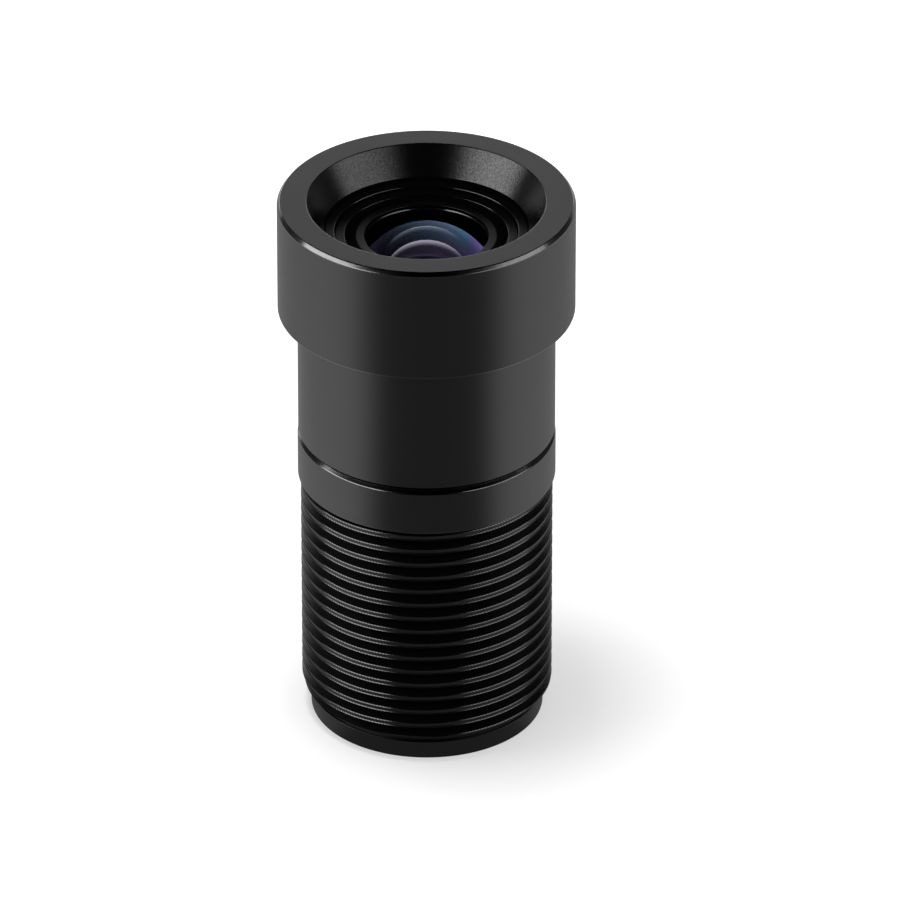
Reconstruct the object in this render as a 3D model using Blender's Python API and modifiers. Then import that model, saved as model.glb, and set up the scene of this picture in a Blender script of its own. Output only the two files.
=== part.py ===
"""An M12 board camera lens: two screwed barrels of black anodised aluminium round a stack of glass.

The lens stands on its foot. The origin is the centre of the foot's rear face, and +Z runs along the
optical axis towards the front. Lengths are in metres.
"""

import math

import bmesh
import bpy

MM = 0.001

# Outside, from the foot up
FOOT_RADIUS = 5.57 * MM
FOOT_HEIGHT = 0.88 * MM
RELIEF_DEPTH = 0.15 * MM
RELIEF_WIDTH = 0.45 * MM
THREAD_LENGTH = 11.405 * MM
BAND_STEP = 0.13 * MM
BAND_HEIGHT = 2.355 * MM
BAND_CHAMFER = 0.20 * MM
JOINT_GAP = 0.13 * MM
BODY_INSET = 0.03 * MM
BODY_LENGTH = 6.46 * MM
HEAD_RADIUS = 7.03 * MM
HEAD_LENGTH = 5.64 * MM
HEAD_CHAMFER_WIDTH = 0.133 * MM
HEAD_CHAMFER_HEIGHT = 0.19 * MM
EDGE_BREAK = 0.04 * MM

# Outside thread: right-hand, one start
THREAD_RADIUS = 6.0 * MM
THREAD_PITCH = 0.74 * MM
THREAD_DEPTH = 0.45 * MM
CREST_WIDTH = 0.17 * MM
ROOT_WIDTH = 0.05 * MM
THREAD_CHAMFER = 0.12 * MM
# Height of the first crest above the thread's lower end, at +X
THREAD_PHASE = 0.212 * MM
# How far the threaded sleeve reaches into the barrel and its band, where they become one
SLEEVE_OVERLAP = 0.20 * MM
# Points closer than this are one
WELD = 0.001 * MM

# Front mouth: a cone, then two flat steps that stop stray light
MOUTH_RADIUS = 5.633 * MM
MOUTH_FOOT_RADIUS = 4.78 * MM
MOUTH_DEPTH = 1.39 * MM
UPPER_STEP_DROP = 0.20 * MM
UPPER_STEP_WIDTH = 0.45 * MM
LOWER_STEP_DROP = 0.18 * MM
LOWER_STEP_WIDTH = 0.45 * MM
STEP_SLOPE = 0.06 * MM

# Rings that hold the glass
FRONT_RING_HOLE_RADIUS = 2.90 * MM
FRONT_RING_FACE_WIDTH = 0.41 * MM
FRONT_RING_HEIGHT = 1.26 * MM
FRONT_RING_DROP = 0.08 * MM
FRONT_RING_CHAMFER_HEIGHT = 0.22 * MM
REAR_RING_WIDTH = 1.02 * MM
REAR_RING_HEIGHT = 0.52 * MM
REAR_RING_INSET = 0.34 * MM
SPANNER_SLOT_WIDTH = 0.80 * MM
SPANNER_SLOT_DEPTH = 0.26 * MM

# Fits: clearance between turned fits, on the radius, and the gap where two faces seat
FIT_CLEARANCE = 0.03 * MM
SEAT_GAP = 0.02 * MM

# Front cell and the joint of the two barrels
FRONT_GLASS_SHOULDER = 0.09 * MM
SPIGOT_SHOULDER = 0.64 * MM
CELL_FLOOR_THICKNESS = 1.90 * MM
CELL_EXIT_RADIUS = 2.50 * MM
SPIGOT_END_CLEARANCE = 0.12 * MM
SHIM_WIDTH = 0.60 * MM
DISC_THICKNESS = 0.10 * MM

# Rear cell: its walls are measured from the root of the thread
REAR_CELL_WALL = 1.29 * MM
REAR_RING_WALL = 0.95 * MM
REAR_FLOOR_THICKNESS = 0.70 * MM
REAR_SEAT_WIDTH = 0.83 * MM
FILTER_SHOULDER = 0.25 * MM
FILTER_THICKNESS = 0.30 * MM

# Glass: each element has an edge and two surfaces, each with a flat rim round its bulge.
# A negative bulge is a hollow surface.
FRONT_LENS_EDGE = 1.09 * MM
FRONT_LENS_FRONT_BULGE = 1.57 * MM
FRONT_LENS_REAR_RIM = 1.32 * MM
FRONT_LENS_REAR_BULGE = -1.28 * MM
SECOND_LENS_EDGE = 1.15 * MM
SECOND_LENS_FRONT_RIM = 1.13 * MM
SECOND_LENS_FRONT_BULGE = 0.50 * MM
SECOND_LENS_REAR_RIM = 1.48 * MM
SECOND_LENS_REAR_BULGE = -0.62 * MM
THIRD_LENS_EDGE = 1.00 * MM
THIRD_LENS_FRONT_RIM = 1.13 * MM
THIRD_LENS_FRONT_BULGE = 0.62 * MM
THIRD_LENS_REAR_RIM = 1.38 * MM
CROWN_LENS_EDGE = 0.85 * MM
CROWN_LENS_FRONT_RIM = 0.88 * MM
CROWN_LENS_FRONT_BULGE = 0.55 * MM
CEMENTED_RIM = 0.68 * MM
CEMENTED_BULGE = 0.60 * MM
CEMENT_GAP = 0.01 * MM
FLINT_LENS_EDGE = 1.35 * MM
FLINT_LENS_REAR_RIM = 1.18 * MM
FLINT_LENS_REAR_BULGE = -0.30 * MM
SIXTH_LENS_EDGE = 1.10 * MM
SIXTH_LENS_FRONT_RIM = 0.83 * MM
SIXTH_LENS_FRONT_BULGE = 0.95 * MM
SIXTH_LENS_REAR_RIM = 0.83 * MM
SIXTH_LENS_REAR_BULGE = 0.40 * MM
REAR_LENS_EDGE = 1.20 * MM
REAR_LENS_FRONT_RIM = 0.73 * MM
REAR_LENS_FRONT_BULGE = 0.70 * MM
REAR_LENS_REAR_RIM = 1.03 * MM
REAR_LENS_REAR_BULGE = -0.25 * MM

# Air between the middles of two neighbouring surfaces
AIR_FRONT_SECOND = 2.12 * MM
AIR_SECOND_THIRD = 1.30 * MM
AIR_STOP_CROWN = 0.45 * MM
AIR_SIXTH_REAR = 0.55 * MM

# Spacers and stops
FRONT_SPACER_WALL = 1.03 * MM
SECOND_SPACER_WALL = 1.03 * MM
STOP_SPACER_WALL = 0.83 * MM
TUBE_SPACER_WALL = 1.48 * MM
TUBE_SPACER_FOOT_WIDTH = 0.73 * MM
TUBE_SPACER_FOOT_HEIGHT = 1.60 * MM
REAR_SPACER_WALL = 0.63 * MM
STOP_HOLE_RADIUS = 1.25 * MM
GLARE_STOP_WIDTH = 1.93 * MM

# Facets round a turn
BARREL_FACETS = 48
THREAD_FACETS = 36
SMALL_FACETS = 24
DOME_STEPS = 7
HIDDEN_ARC_STEPS = 3

# Levels that several pieces share, from the foot up
THREAD_BOTTOM = FOOT_HEIGHT + RELIEF_WIDTH
BAND_BOTTOM = THREAD_BOTTOM + THREAD_LENGTH
BAND_TOP = BAND_BOTTOM + BAND_HEIGHT
BODY_BOTTOM = BAND_TOP + JOINT_GAP
HEAD_BOTTOM = BODY_BOTTOM + BODY_LENGTH
FRONT_FACE = HEAD_BOTTOM + HEAD_LENGTH
THREAD_ROOT_RADIUS = THREAD_RADIUS - THREAD_DEPTH
RELIEF_RADIUS = THREAD_ROOT_RADIUS - RELIEF_DEPTH
# The band is a little wider than the thread, so that it stops it, and the body is flush with the band
BAND_RADIUS = THREAD_RADIUS + BAND_STEP
BODY_RADIUS = BAND_RADIUS - BODY_INSET

# Front mouth, from the front face down
MOUTH_FLOOR = FRONT_FACE - MOUTH_DEPTH
UPPER_STEP = MOUTH_FLOOR - UPPER_STEP_DROP
LOWER_STEP = UPPER_STEP - LOWER_STEP_DROP
UPPER_STEP_OUTER = MOUTH_FOOT_RADIUS - STEP_SLOPE
UPPER_STEP_INNER = UPPER_STEP_OUTER - UPPER_STEP_WIDTH
LOWER_STEP_OUTER = UPPER_STEP_INNER - STEP_SLOPE
LOWER_STEP_INNER = LOWER_STEP_OUTER - LOWER_STEP_WIDTH
RING_BORE_RADIUS = LOWER_STEP_INNER - STEP_SLOPE
FRONT_RING_TOP = LOWER_STEP - FRONT_RING_DROP
FRONT_RING_BOTTOM = FRONT_RING_TOP - FRONT_RING_HEIGHT
FRONT_RING_RADIUS = RING_BORE_RADIUS - FIT_CLEARANCE
FRONT_CELL_RADIUS = RING_BORE_RADIUS - FRONT_GLASS_SHOULDER
FRONT_GLASS_RADIUS = FRONT_CELL_RADIUS - FIT_CLEARANCE
# The front glass's dome starts just inside the ring's hole
FRONT_LENS_FRONT_RIM = FRONT_GLASS_RADIUS - FRONT_RING_HOLE_RADIUS + SEAT_GAP


def spacer_height(air, upper_bulge, lower_bulge):
    """Height of a spacer that leaves this much air between the middles of two surfaces."""
    return air + upper_bulge + lower_bulge - 2 * SEAT_GAP


# Front stack, from the retaining ring down
FRONT_LENS_TOP = FRONT_RING_BOTTOM - SEAT_GAP
FRONT_SPACER_TOP = FRONT_LENS_TOP - FRONT_LENS_EDGE - SEAT_GAP
FRONT_SPACER_HEIGHT = spacer_height(
    AIR_FRONT_SECOND, FRONT_LENS_REAR_BULGE, SECOND_LENS_FRONT_BULGE
)
SECOND_LENS_TOP = FRONT_SPACER_TOP - FRONT_SPACER_HEIGHT - SEAT_GAP
SECOND_SPACER_TOP = SECOND_LENS_TOP - SECOND_LENS_EDGE - SEAT_GAP
SECOND_SPACER_HEIGHT = spacer_height(
    AIR_SECOND_THIRD, SECOND_LENS_REAR_BULGE, THIRD_LENS_FRONT_BULGE
)
THIRD_LENS_TOP = SECOND_SPACER_TOP - SECOND_SPACER_HEIGHT - SEAT_GAP
STOP_TOP = THIRD_LENS_TOP - THIRD_LENS_EDGE - SEAT_GAP
STOP_SPACER_TOP = STOP_TOP - DISC_THICKNESS - SEAT_GAP
STOP_SPACER_HEIGHT = spacer_height(AIR_STOP_CROWN, 0.0, CROWN_LENS_FRONT_BULGE)
CROWN_LENS_TOP = STOP_SPACER_TOP - STOP_SPACER_HEIGHT - SEAT_GAP
FLINT_LENS_TOP = CROWN_LENS_TOP - CROWN_LENS_EDGE - CEMENT_GAP
CELL_FLOOR = FLINT_LENS_TOP - FLINT_LENS_EDGE - SEAT_GAP
SPIGOT_END = CELL_FLOOR - CELL_FLOOR_THICKNESS
COUNTERBORE_FLOOR = SPIGOT_END - DISC_THICKNESS - SPIGOT_END_CLEARANCE

# Radii of the rear cell, from the root of the thread inwards
REAR_RING_BORE_RADIUS = THREAD_ROOT_RADIUS - REAR_RING_WALL
REAR_RING_RADIUS = REAR_RING_BORE_RADIUS - FIT_CLEARANCE
REAR_RING_HOLE_RADIUS = REAR_RING_RADIUS - REAR_RING_WIDTH
FILTER_BORE_RADIUS = REAR_RING_BORE_RADIUS - FILTER_SHOULDER
FILTER_RADIUS = FILTER_BORE_RADIUS - FIT_CLEARANCE
REAR_CELL_RADIUS = THREAD_ROOT_RADIUS - REAR_CELL_WALL
REAR_GLASS_RADIUS = REAR_CELL_RADIUS - FIT_CLEARANCE
REAR_EXIT_RADIUS = REAR_GLASS_RADIUS - REAR_SEAT_WIDTH
SPIGOT_RADIUS = REAR_CELL_RADIUS + SPIGOT_SHOULDER
COUNTERBORE_RADIUS = SPIGOT_RADIUS + FIT_CLEARANCE

# Rear stack, from the foot up
REAR_RING_TOP = REAR_RING_INSET + REAR_RING_HEIGHT
FILTER_BOTTOM = REAR_RING_TOP + SEAT_GAP
FILTER_SEAT = FILTER_BOTTOM + FILTER_THICKNESS + SEAT_GAP
REAR_CELL_FLOOR = FILTER_SEAT + REAR_FLOOR_THICKNESS
REAR_LENS_TOP = REAR_CELL_FLOOR + SEAT_GAP + REAR_LENS_EDGE
REAR_SPACER_HEIGHT = spacer_height(
    AIR_SIXTH_REAR, SIXTH_LENS_REAR_BULGE, REAR_LENS_FRONT_BULGE
)
REAR_SPACER_TOP = REAR_LENS_TOP + SEAT_GAP + REAR_SPACER_HEIGHT
SIXTH_LENS_TOP = REAR_SPACER_TOP + SEAT_GAP + SIXTH_LENS_EDGE
TUBE_SPACER_BOTTOM = SIXTH_LENS_TOP + SEAT_GAP
GLARE_STOP_TOP = SPIGOT_END - SEAT_GAP
TUBE_SPACER_TOP = GLARE_STOP_TOP - DISC_THICKNESS - SEAT_GAP


def clear_scene():
    for obj in list(bpy.data.objects):
        bpy.data.objects.remove(obj, do_unlink=True)


def new_collection(name):
    collection = bpy.data.collections.new(name)
    bpy.context.scene.collection.children.link(collection)
    return collection


def finish(name, color, roughness, metallic=0.0, transmission=0.0):
    """A material with one colour."""
    material = bpy.data.materials.new(name)
    material.use_nodes = True
    shader = material.node_tree.nodes["Principled BSDF"]
    shader.inputs["Base Color"].default_value = (*color, 1.0)
    shader.inputs["Roughness"].default_value = roughness
    shader.inputs["Metallic"].default_value = metallic
    shader.inputs["Transmission Weight"].default_value = transmission
    material.diffuse_color = (*color, 1.0)
    return material


def new_object(name, mesh, collection, material=None):
    obj = bpy.data.objects.new(name, mesh)
    collection.objects.link(obj)
    if material:
        mesh.materials.append(material)
    return obj


def helper(obj):
    """Marks an object that only shapes another one."""
    obj.hide_render = True
    obj.display_type = "WIRE"
    return obj


def turned(name, profile, collection, material=None, facets=SMALL_FACETS, closed=True):
    """A solid turned round Z from (radius, height) points.

    The profile starts at the top and runs down its outer side. A closed profile is a ring's section.
    An open one starts and ends on the axis.
    """
    mesh = bpy.data.meshes.new(name)
    points = [(radius, 0.0, height) for radius, height in profile]
    edges = [(i, i + 1) for i in range(len(points) - 1)]
    if closed:
        edges.append((len(points) - 1, 0))
    mesh.from_pydata(points, edges, [])
    obj = new_object(name, mesh, collection, material)
    screw = obj.modifiers.new("Turn", "SCREW")
    screw.axis = "Z"
    screw.angle = 2 * math.pi
    screw.steps = facets
    screw.render_steps = facets
    screw.use_merge_vertices = True
    screw.merge_threshold = WELD
    screw.use_smooth_shade = True
    return obj


def boolean(obj, operation, other):
    modifier = obj.modifiers.new(operation.title(), "BOOLEAN")
    modifier.operation = operation
    modifier.solver = "EXACT"
    modifier.object = other


def ring(name, inner, outer, bottom, top, collection, material, facets=SMALL_FACETS):
    """A plain ring with a square section."""
    section = [(outer, top), (outer, bottom), (inner, bottom), (inner, top)]
    return turned(name, section, collection, material, facets)


def surface(half_aperture, rise, height, steps):
    """Points of a lens surface from its edge to the axis, which it meets at height + rise."""
    if rise == 0.0:
        return [(half_aperture, height), (0.0, height)]
    radius = (half_aperture**2 + rise**2) / (2 * abs(rise))
    half_angle = math.atan2(half_aperture, radius - abs(rise))
    points = []
    for step in range(steps + 1):
        angle = half_angle * (1 - step / steps)
        lift = radius * math.cos(angle) - (radius - abs(rise))
        points.append((radius * math.sin(angle), height + math.copysign(lift, rise)))
    points[-1] = (0.0, height + rise)
    return points


def lens(name, outer_radius, top, edge, front, rear, collection, material, steps=HIDDEN_ARC_STEPS):
    """A glass element with a flat rim round both surfaces.

    top is the height of its upper rim. front and rear each give a rim's width and a bulge.
    """
    front_rim, front_bulge = front
    rear_rim, rear_bulge = rear
    bottom = top - edge
    upper = surface(outer_radius - front_rim, front_bulge, top, steps)
    lower = surface(outer_radius - rear_rim, -rear_bulge, bottom, steps)
    side = [(outer_radius, top), (outer_radius, bottom)]
    facets = SMALL_FACETS if steps == HIDDEN_ARC_STEPS else BARREL_FACETS
    return turned(name, upper[::-1] + side + lower, collection, material, facets, closed=False)


def front_barrel(parts, material):
    """Head and upper body, with the mouth, the lens cell and the spigot that screws into the rear barrel."""
    outside = [
        (HEAD_RADIUS - HEAD_CHAMFER_WIDTH, FRONT_FACE),
        (HEAD_RADIUS, FRONT_FACE - HEAD_CHAMFER_HEIGHT),
        (HEAD_RADIUS, HEAD_BOTTOM + EDGE_BREAK),
        (HEAD_RADIUS - EDGE_BREAK, HEAD_BOTTOM),
        (BODY_RADIUS, HEAD_BOTTOM),
        (BODY_RADIUS, BODY_BOTTOM + EDGE_BREAK),
        (BODY_RADIUS - EDGE_BREAK, BODY_BOTTOM),
        (SPIGOT_RADIUS, BODY_BOTTOM),
        (SPIGOT_RADIUS, SPIGOT_END + EDGE_BREAK),
        (SPIGOT_RADIUS - EDGE_BREAK, SPIGOT_END),
    ]
    cell = [
        (CELL_EXIT_RADIUS, SPIGOT_END),
        (CELL_EXIT_RADIUS, CELL_FLOOR),
        (FRONT_CELL_RADIUS, CELL_FLOOR),
        (FRONT_CELL_RADIUS, FRONT_LENS_TOP),
        (RING_BORE_RADIUS, FRONT_LENS_TOP),
    ]
    mouth = [
        (RING_BORE_RADIUS, FRONT_RING_TOP - FRONT_RING_CHAMFER_HEIGHT),
        (LOWER_STEP_INNER, LOWER_STEP),
        (LOWER_STEP_OUTER, LOWER_STEP),
        (UPPER_STEP_INNER, UPPER_STEP),
        (UPPER_STEP_OUTER, UPPER_STEP),
        (MOUTH_FOOT_RADIUS, MOUTH_FLOOR),
        (MOUTH_RADIUS, FRONT_FACE),
    ]
    return turned("front_barrel", outside + cell + mouth, parts, material, BARREL_FACETS)


def close_end(bm, height):
    """Closes the end loop that lies nearest to this height with a fan to the axis."""
    rims = [edge for edge in bm.edges if edge.is_boundary]
    middle = (min(v.co.z for v in bm.verts) + max(v.co.z for v in bm.verts)) / 2
    loop = [edge for edge in rims if (edge.verts[0].co.z < middle) == (height < middle)]
    grown = bmesh.ops.extrude_edge_only(bm, edges=loop)["geom"]
    tips = [item for item in grown if isinstance(item, bmesh.types.BMVert)]
    bmesh.ops.pointmerge(bm, verts=tips, merge_co=(0.0, 0.0, height))


def threaded_sleeve(cutters):
    """The thread: one pitch of its section carried up a right-hand helix, each turn welded to the last.

    The helix starts below the thread's lower end and stops inside the band. An envelope then cuts it
    to a sleeve with square ends and a chamfer on the first crest.
    """
    half_crest = CREST_WIDTH / 2
    half_base = (THREAD_PITCH - ROOT_WIDTH) / 2
    start = THREAD_BOTTOM + THREAD_PHASE - 2 * THREAD_PITCH
    turns = math.ceil((BAND_BOTTOM - start) / THREAD_PITCH) + 1
    section = [
        (THREAD_ROOT_RADIUS, start - half_base),
        (THREAD_RADIUS, start - half_crest),
        (THREAD_RADIUS, start + half_crest),
        (THREAD_ROOT_RADIUS, start + half_base),
        (THREAD_ROOT_RADIUS, start + THREAD_PITCH - half_base),
    ]
    bm = bmesh.new()
    points = [bm.verts.new((radius, 0.0, height)) for radius, height in section]
    for lower, upper in zip(points, points[1:]):
        bm.edges.new((lower, upper))
    bmesh.ops.spin(
        bm,
        geom=bm.verts[:] + bm.edges[:],
        cent=(0.0, 0.0, 0.0),
        axis=(0.0, 0.0, 1.0),
        dvec=(0.0, 0.0, THREAD_PITCH / THREAD_FACETS),
        angle=2 * math.pi * turns,
        steps=turns * THREAD_FACETS,
    )
    bmesh.ops.remove_doubles(bm, verts=bm.verts[:], dist=WELD)
    close_end(bm, start - THREAD_PITCH)
    close_end(bm, start + (turns + 2) * THREAD_PITCH)
    bmesh.ops.recalc_face_normals(bm, faces=bm.faces[:])
    mesh = bpy.data.meshes.new("threaded_sleeve")
    bm.to_mesh(mesh)
    bm.free()
    sleeve = helper(new_object("threaded_sleeve", mesh, cutters))

    inner = RELIEF_RADIUS - SLEEVE_OVERLAP
    outer = THREAD_RADIUS + THREAD_DEPTH
    chamfer_foot = THREAD_RADIUS - THREAD_CHAMFER
    top = BAND_BOTTOM + SLEEVE_OVERLAP
    envelope = turned(
        "thread_envelope",
        [
            (outer, top),
            (outer, THREAD_BOTTOM + outer - chamfer_foot),
            (chamfer_foot, THREAD_BOTTOM),
            (inner, THREAD_BOTTOM),
            (inner, top),
        ],
        cutters,
        facets=THREAD_FACETS,
    )
    boolean(sleeve, "INTERSECT", helper(envelope))
    return sleeve


def rear_barrel(parts, cutters, material):
    """Band, thread, relief groove and foot, bored for the rear glass and counterbored for the spigot."""
    outside = [
        (BAND_RADIUS - BAND_CHAMFER, BAND_TOP),
        (BAND_RADIUS, BAND_TOP - BAND_CHAMFER),
        (BAND_RADIUS, BAND_BOTTOM + EDGE_BREAK),
        (BAND_RADIUS - EDGE_BREAK, BAND_BOTTOM),
        (RELIEF_RADIUS, BAND_BOTTOM),
        (RELIEF_RADIUS, FOOT_HEIGHT),
        (FOOT_RADIUS, FOOT_HEIGHT),
        (FOOT_RADIUS, EDGE_BREAK),
        (FOOT_RADIUS - EDGE_BREAK, 0.0),
    ]
    inside = [
        (REAR_RING_BORE_RADIUS, 0.0),
        (REAR_RING_BORE_RADIUS, REAR_RING_TOP),
        (FILTER_BORE_RADIUS, REAR_RING_TOP),
        (FILTER_BORE_RADIUS, FILTER_SEAT),
        (REAR_EXIT_RADIUS, FILTER_SEAT),
        (REAR_EXIT_RADIUS, REAR_CELL_FLOOR),
        (REAR_CELL_RADIUS, REAR_CELL_FLOOR),
        (REAR_CELL_RADIUS, COUNTERBORE_FLOOR),
        (COUNTERBORE_RADIUS, COUNTERBORE_FLOOR),
        (COUNTERBORE_RADIUS, BAND_TOP),
    ]
    barrel = turned("rear_barrel", outside + inside, parts, material, THREAD_FACETS)
    boolean(barrel, "UNION", threaded_sleeve(cutters))
    return barrel


def front_retaining_ring(parts, material):
    """A flat face round the glass, and a chamfer down to the ring's own thread."""
    face_outer = FRONT_RING_HOLE_RADIUS + FRONT_RING_FACE_WIDTH
    section = [
        (FRONT_RING_HOLE_RADIUS + EDGE_BREAK, FRONT_RING_TOP),
        (face_outer, FRONT_RING_TOP),
        (FRONT_RING_RADIUS, FRONT_RING_TOP - FRONT_RING_CHAMFER_HEIGHT),
        (FRONT_RING_RADIUS, FRONT_RING_BOTTOM),
        (FRONT_RING_HOLE_RADIUS, FRONT_RING_BOTTOM),
        (FRONT_RING_HOLE_RADIUS, FRONT_RING_TOP - EDGE_BREAK),
    ]
    return turned("front_retaining_ring", section, parts, material, BARREL_FACETS)


def rear_retaining_ring(parts, cutters, material):
    """The ring that holds the filter, with two slots across its rear face for a spanner."""
    obj = ring(
        "rear_retaining_ring",
        REAR_RING_HOLE_RADIUS,
        REAR_RING_RADIUS,
        REAR_RING_INSET,
        REAR_RING_TOP,
        parts,
        material,
        THREAD_FACETS,
    )
    bm = bmesh.new()
    bmesh.ops.create_cube(bm, size=1.0)
    span = 2 * (REAR_RING_RADIUS + SPANNER_SLOT_WIDTH)
    bmesh.ops.scale(bm, vec=(span, SPANNER_SLOT_WIDTH, 2 * SPANNER_SLOT_DEPTH), verts=bm.verts[:])
    bmesh.ops.translate(bm, vec=(0.0, 0.0, REAR_RING_INSET), verts=bm.verts[:])
    mesh = bpy.data.meshes.new("spanner_slots")
    bm.to_mesh(mesh)
    bm.free()
    boolean(obj, "DIFFERENCE", helper(new_object("spanner_slots", mesh, cutters)))
    return obj


def front_stack(parts, glass, black):
    """Glass, spacers and the aperture stop in the front barrel, from the retaining ring down."""
    cemented = (CEMENTED_RIM, CEMENTED_BULGE)
    elements = [
        (
            "second_lens",
            SECOND_LENS_TOP,
            SECOND_LENS_EDGE,
            (SECOND_LENS_FRONT_RIM, SECOND_LENS_FRONT_BULGE),
            (SECOND_LENS_REAR_RIM, SECOND_LENS_REAR_BULGE),
        ),
        (
            "third_lens",
            THIRD_LENS_TOP,
            THIRD_LENS_EDGE,
            (THIRD_LENS_FRONT_RIM, THIRD_LENS_FRONT_BULGE),
            (THIRD_LENS_REAR_RIM, 0.0),
        ),
        (
            "doublet_crown",
            CROWN_LENS_TOP,
            CROWN_LENS_EDGE,
            (CROWN_LENS_FRONT_RIM, CROWN_LENS_FRONT_BULGE),
            cemented,
        ),
        (
            "doublet_flint",
            FLINT_LENS_TOP,
            FLINT_LENS_EDGE,
            (CEMENTED_RIM, -CEMENTED_BULGE),
            (FLINT_LENS_REAR_RIM, FLINT_LENS_REAR_BULGE),
        ),
    ]
    lens(
        "front_lens",
        FRONT_GLASS_RADIUS,
        FRONT_LENS_TOP,
        FRONT_LENS_EDGE,
        (FRONT_LENS_FRONT_RIM, FRONT_LENS_FRONT_BULGE),
        (FRONT_LENS_REAR_RIM, FRONT_LENS_REAR_BULGE),
        parts,
        glass,
        DOME_STEPS,
    )
    for name, top, edge, front, rear in elements:
        lens(name, FRONT_GLASS_RADIUS, top, edge, front, rear, parts, glass)
    rings = [
        ("front_spacer", FRONT_SPACER_WALL, FRONT_SPACER_TOP, FRONT_SPACER_HEIGHT),
        ("second_spacer", SECOND_SPACER_WALL, SECOND_SPACER_TOP, SECOND_SPACER_HEIGHT),
        ("aperture_stop", FRONT_GLASS_RADIUS - STOP_HOLE_RADIUS, STOP_TOP, DISC_THICKNESS),
        ("stop_spacer", STOP_SPACER_WALL, STOP_SPACER_TOP, STOP_SPACER_HEIGHT),
    ]
    for name, wall, top, height in rings:
        ring(name, FRONT_GLASS_RADIUS - wall, FRONT_GLASS_RADIUS, top - height, top, parts, black)


def rear_stack(parts, glass, black, filter_glass):
    """Glass, spacers and the glare stop in the rear barrel, and the filter behind them."""
    radius = REAR_GLASS_RADIUS
    elements = [
        (
            "sixth_lens",
            SIXTH_LENS_TOP,
            SIXTH_LENS_EDGE,
            (SIXTH_LENS_FRONT_RIM, SIXTH_LENS_FRONT_BULGE),
            (SIXTH_LENS_REAR_RIM, SIXTH_LENS_REAR_BULGE),
        ),
        (
            "rear_lens",
            REAR_LENS_TOP,
            REAR_LENS_EDGE,
            (REAR_LENS_FRONT_RIM, REAR_LENS_FRONT_BULGE),
            (REAR_LENS_REAR_RIM, REAR_LENS_REAR_BULGE),
        ),
    ]
    for name, top, edge, front, rear in elements:
        lens(name, radius, top, edge, front, rear, parts, glass)
    rear_spacer_bottom = REAR_SPACER_TOP - REAR_SPACER_HEIGHT
    glare_bottom = GLARE_STOP_TOP - DISC_THICKNESS
    rings = [
        ("rear_spacer", radius - REAR_SPACER_WALL, rear_spacer_bottom, REAR_SPACER_TOP),
        ("glare_stop", radius - GLARE_STOP_WIDTH, glare_bottom, GLARE_STOP_TOP),
    ]
    for name, hole, bottom, top in rings:
        ring(name, hole, radius, bottom, top, parts, black)
    hole = radius - TUBE_SPACER_WALL
    tube = [
        (radius, TUBE_SPACER_TOP),
        (radius, TUBE_SPACER_BOTTOM),
        (radius - TUBE_SPACER_FOOT_WIDTH, TUBE_SPACER_BOTTOM),
        (hole, TUBE_SPACER_BOTTOM + TUBE_SPACER_FOOT_HEIGHT),
        (hole, TUBE_SPACER_TOP),
    ]
    turned("tube_spacer", tube, parts, black)
    disc = [
        (0.0, FILTER_BOTTOM + FILTER_THICKNESS),
        (FILTER_RADIUS, FILTER_BOTTOM + FILTER_THICKNESS),
        (FILTER_RADIUS, FILTER_BOTTOM),
        (0.0, FILTER_BOTTOM),
    ]
    turned("ir_cut_filter", disc, parts, filter_glass, closed=False)


def joint_shim(parts, material):
    """The thin washer between the two barrels, round the spigot."""
    inner = COUNTERBORE_RADIUS
    bottom = BAND_TOP + SEAT_GAP
    top = BODY_BOTTOM - SEAT_GAP
    return ring("joint_shim", inner, inner + SHIM_WIDTH, bottom, top, parts, material, THREAD_FACETS)


def main():
    clear_scene()
    parts = new_collection("m12_board_lens")
    cutters = new_collection("cutters")
    anodised = finish("black_anodised_aluminium", (0.018, 0.018, 0.019), 0.38)
    matte = finish("matte_black", (0.012, 0.012, 0.012), 0.75)
    coated_glass = finish("coated_glass", (0.80, 0.84, 0.95), 0.02, transmission=1.0)
    filter_glass = finish("filter_glass", (0.62, 0.85, 0.88), 0.03, transmission=1.0)
    brass = finish("blackened_brass", (0.05, 0.045, 0.04), 0.45, metallic=0.6)

    front_barrel(parts, anodised)
    rear_barrel(parts, cutters, anodised)
    front_retaining_ring(parts, anodised)
    rear_retaining_ring(parts, cutters, anodised)
    front_stack(parts, coated_glass, matte)
    rear_stack(parts, coated_glass, matte, filter_glass)
    joint_shim(parts, brass)

    axis = bpy.data.objects.new("optical_axis", None)
    axis.empty_display_size = FOOT_RADIUS
    parts.objects.link(axis)
    for obj in parts.objects:
        if obj is not axis:
            obj.parent = axis


main()
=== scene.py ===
"""Looks of a board camera lens: finely turned barrels with a cut thread, coated glass and a pale studio.

Lengths are in metres. The lens stands on its foot, with its optical axis along +Z.
"""

import math

import bmesh
import bpy
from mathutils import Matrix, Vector


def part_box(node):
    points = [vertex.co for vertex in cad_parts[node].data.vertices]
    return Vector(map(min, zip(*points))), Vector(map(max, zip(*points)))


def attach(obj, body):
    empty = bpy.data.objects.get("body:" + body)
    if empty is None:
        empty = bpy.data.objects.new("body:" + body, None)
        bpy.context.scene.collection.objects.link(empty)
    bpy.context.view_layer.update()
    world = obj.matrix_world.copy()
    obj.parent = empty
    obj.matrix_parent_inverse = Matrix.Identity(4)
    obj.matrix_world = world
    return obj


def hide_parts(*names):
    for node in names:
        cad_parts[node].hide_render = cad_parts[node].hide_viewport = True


bl_info = {
    "name": "Board camera lens",
    "version": (1, 0, 0),
    "blender": (4, 5, 0),
    "location": "3D View > Sidebar > Board lens",
    "description": "Builds the turned barrels, the glass and the studio of a board camera lens",
    "category": "Object",
}

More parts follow.
